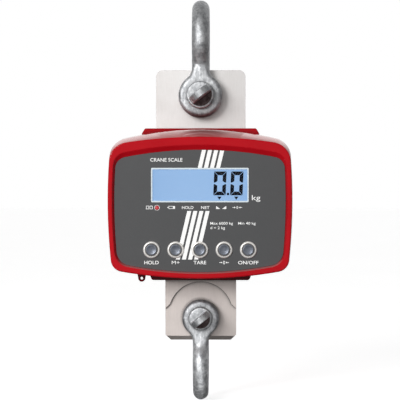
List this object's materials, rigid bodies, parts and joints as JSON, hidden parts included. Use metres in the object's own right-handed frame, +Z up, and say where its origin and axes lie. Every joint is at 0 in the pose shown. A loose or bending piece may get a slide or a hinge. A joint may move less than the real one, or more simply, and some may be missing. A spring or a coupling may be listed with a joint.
{
  "type": "crane scale",
  "caption": "Electronic crane scale: a steel load cell hung between two screw-pin bow shackles, with a red housing, a display and push buttons.",
  "frame": {"origin": "seat of the crane hook, on the inside of the upper shackle's crown", "axes": "+Z up along the line of pull, -Y out of the display, +X to the reader's right"},
  "size_m": [0.215, 0.1385, 0.4765],
  "materials": {
    "battery_cells": "sleeved rechargeable cells",
    "battery_contacts": "nickel plated",
    "battery_cover": "glossy red paint",
    "battery_cover_screws": "zinc plated screw",
    "battery_gasket": "flat gasket",
    "battery_leads": "insulated wire",
    "battery_tray": "black moulding",
    "button_bezels": "polished stainless steel",
    "button_board": "green laminate",
    "button_board_screws": "zinc plated screw",
    "button_hold": "dished stainless steel",
    "button_memory": "dished stainless steel",
    "button_nuts": "stainless steel",
    "button_power": "dished stainless steel",
    "button_ribbon": "flat cable",
    "button_rings": "black guide ring",
    "button_seals": "ring seal",
    "button_springs": "spring wire",
    "button_switches": "moulded switches",
    "button_tare": "dished stainless steel",
    "button_zero": "dished stainless steel",
    "cell_cable": "screened cable",
    "charging_leads": "insulated wire",
    "charging_socket": "black moulding",
    "charging_socket_nut": "nickel plated",
    "display_board": "green laminate",
    "display_board_screws": "zinc plated screw",
    "display_frame": "white moulding",
    "display_ribbon": "flat cable",
    "display_window": "clear hard-coated window",
    "front_housing": "glossy red paint on die-cast aluminium",
    "front_overlay": "fine-textured printed foil",
    "gauge_pocket_covers": "turned steel",
    "housing_gasket": "silicone cord",
    "housing_screws": "zinc plated screw",
    "lamp_ring": "light ring",
    "lcd_backlight": "light guide",
    "lcd_glass": "liquid crystal cell with polarisers",
    "load_cell": "fine-ground alloy steel",
    "lower_cell_seal": "soft moulded seal",
    "lower_shackle_bow": "hot-dip galvanised forging",
    "lower_shackle_pin": "hot-dip galvanised forging",
    "main_board": "green laminate",
    "main_board_parts": "moulded packages",
    "main_board_screws": "zinc plated screw",
    "mounting_plate": "zinc plated",
    "plate_screws_cell": "zinc plated screw",
    "plate_screws_housing": "zinc plated screw",
    "rating_plate": "anodised, blank",
    "rear_housing": "glossy red paint on die-cast aluminium",
    "socket_cover": "moulded cap",
    "socket_strap": "moulded strap",
    "socket_strap_screw": "zinc plated screw",
    "status_lamp": "red diffused lens",
    "strain_gauges": "polyimide foil",
    "upper_cell_seal": "soft moulded seal",
    "upper_shackle_bow": "hot-dip galvanised forging",
    "upper_shackle_pin": "hot-dip galvanised forging"
  },
  "bodies": {
    "upper_shackle": {"upper_shackle_bow": "upper_shackle_bow"},
    "upper_pin": {"upper_shackle_pin": "upper_shackle_pin"},
    "scale": {"battery_cells": "battery_cells", "battery_contacts": "battery_contacts", "battery_cover": "battery_cover", "battery_cover_screws": "battery_cover_screws", "battery_gasket": "battery_gasket", "battery_leads": "battery_leads", "battery_tray": "battery_tray", "button_bezels": "button_bezels", "button_board": "button_board", "button_board_screws": "button_board_screws", "button_nuts": "button_nuts", "button_ribbon": "button_ribbon", "button_rings": "button_rings", "button_seals": "button_seals", "button_springs": "button_springs", "button_switches": "button_switches", "cell_cable": "cell_cable", "charging_leads": "charging_leads", "charging_socket": "charging_socket", "charging_socket_nut": "charging_socket_nut", "display_board": "display_board", "display_board_screws": "display_board_screws", "display_frame": "display_frame", "display_ribbon": "display_ribbon", "display_window": "display_window", "front_housing": "front_housing", "front_overlay": "front_overlay", "gauge_pocket_covers": "gauge_pocket_covers", "housing_gasket": "housing_gasket", "housing_screws": "housing_screws", "lamp_ring": "lamp_ring", "lcd_backlight": "lcd_backlight", "lcd_glass": "lcd_glass", "load_cell": "load_cell", "lower_cell_seal": "lower_cell_seal", "main_board": "main_board", "main_board_parts": "main_board_parts", "main_board_screws": "main_board_screws", "mounting_plate": "mounting_plate", "plate_screws_cell": "plate_screws_cell", "plate_screws_housing": "plate_screws_housing", "rating_plate": "rating_plate", "rear_housing": "rear_housing", "socket_strap": "socket_strap", "socket_strap_screw": "socket_strap_screw", "status_lamp": "status_lamp", "strain_gauges": "strain_gauges", "upper_cell_seal": "upper_cell_seal"},
    "lower_shackle": {"lower_shackle_bow": "lower_shackle_bow"},
    "lower_pin": {"lower_shackle_pin": "lower_shackle_pin"},
    "hold_button": {"button_hold": "button_hold"},
    "memory_button": {"button_memory": "button_memory"},
    "tare_button": {"button_tare": "button_tare"},
    "zero_button": {"button_zero": "button_zero"},
    "power_button": {"button_power": "button_power"},
    "socket_cap": {"socket_cover": "socket_cover"}
  },
  "joints": [
    {"name": "upper_pin_slide", "type": "slide", "parent": "upper_shackle", "child": "upper_pin", "axis": [0, -1, 0], "range_m": [0, 0.09]},
    {"name": "upper_swing", "type": "hinge", "parent": "upper_shackle", "child": "scale", "pos_m": [0, 0, -0.095], "axis": [0, 1, 0], "range_deg": [-100, 100]},
    {"name": "lower_swing", "type": "hinge", "parent": "scale", "child": "lower_shackle", "pos_m": [0, 0, -0.357], "axis": [0, 1, 0], "range_deg": [-90, 90]},
    {"name": "lower_pin_slide", "type": "slide", "parent": "lower_shackle", "child": "lower_pin", "axis": [0, -1, 0], "range_m": [0, 0.08]},
    {"name": "hold_press", "type": "slide", "parent": "scale", "child": "hold_button", "axis": [0, 1, 0], "range_m": [0, 0.0012], "stiffness_N_per_m": 1500, "springref_m": -0.001, "deforming": ["button_springs"]},
    {"name": "memory_press", "type": "slide", "parent": "scale", "child": "memory_button", "axis": [0, 1, 0], "range_m": [0, 0.0012], "stiffness_N_per_m": 1500, "springref_m": -0.001, "deforming": ["button_springs"]},
    {"name": "tare_press", "type": "slide", "parent": "scale", "child": "tare_button", "axis": [0, 1, 0], "range_m": [0, 0.0012], "stiffness_N_per_m": 1500, "springref_m": -0.001, "deforming": ["button_springs"]},
    {"name": "zero_press", "type": "slide", "parent": "scale", "child": "zero_button", "axis": [0, 1, 0], "range_m": [0, 0.0012], "stiffness_N_per_m": 1500, "springref_m": -0.001, "deforming": ["button_springs"]},
    {"name": "power_press", "type": "slide", "parent": "scale", "child": "power_button", "axis": [0, 1, 0], "range_m": [0, 0.0012], "stiffness_N_per_m": 1500, "springref_m": -0.001, "deforming": ["button_springs"]},
    {"name": "socket_cap_swing", "type": "hinge", "parent": "scale", "child": "socket_cap", "pos_m": [0.048, 0.046, -0.3089], "axis": [0, 1, 0], "range_deg": [0, 90], "stiffness_Nm_per_rad": 0.01, "springref_deg": -11.46}
  ]
}
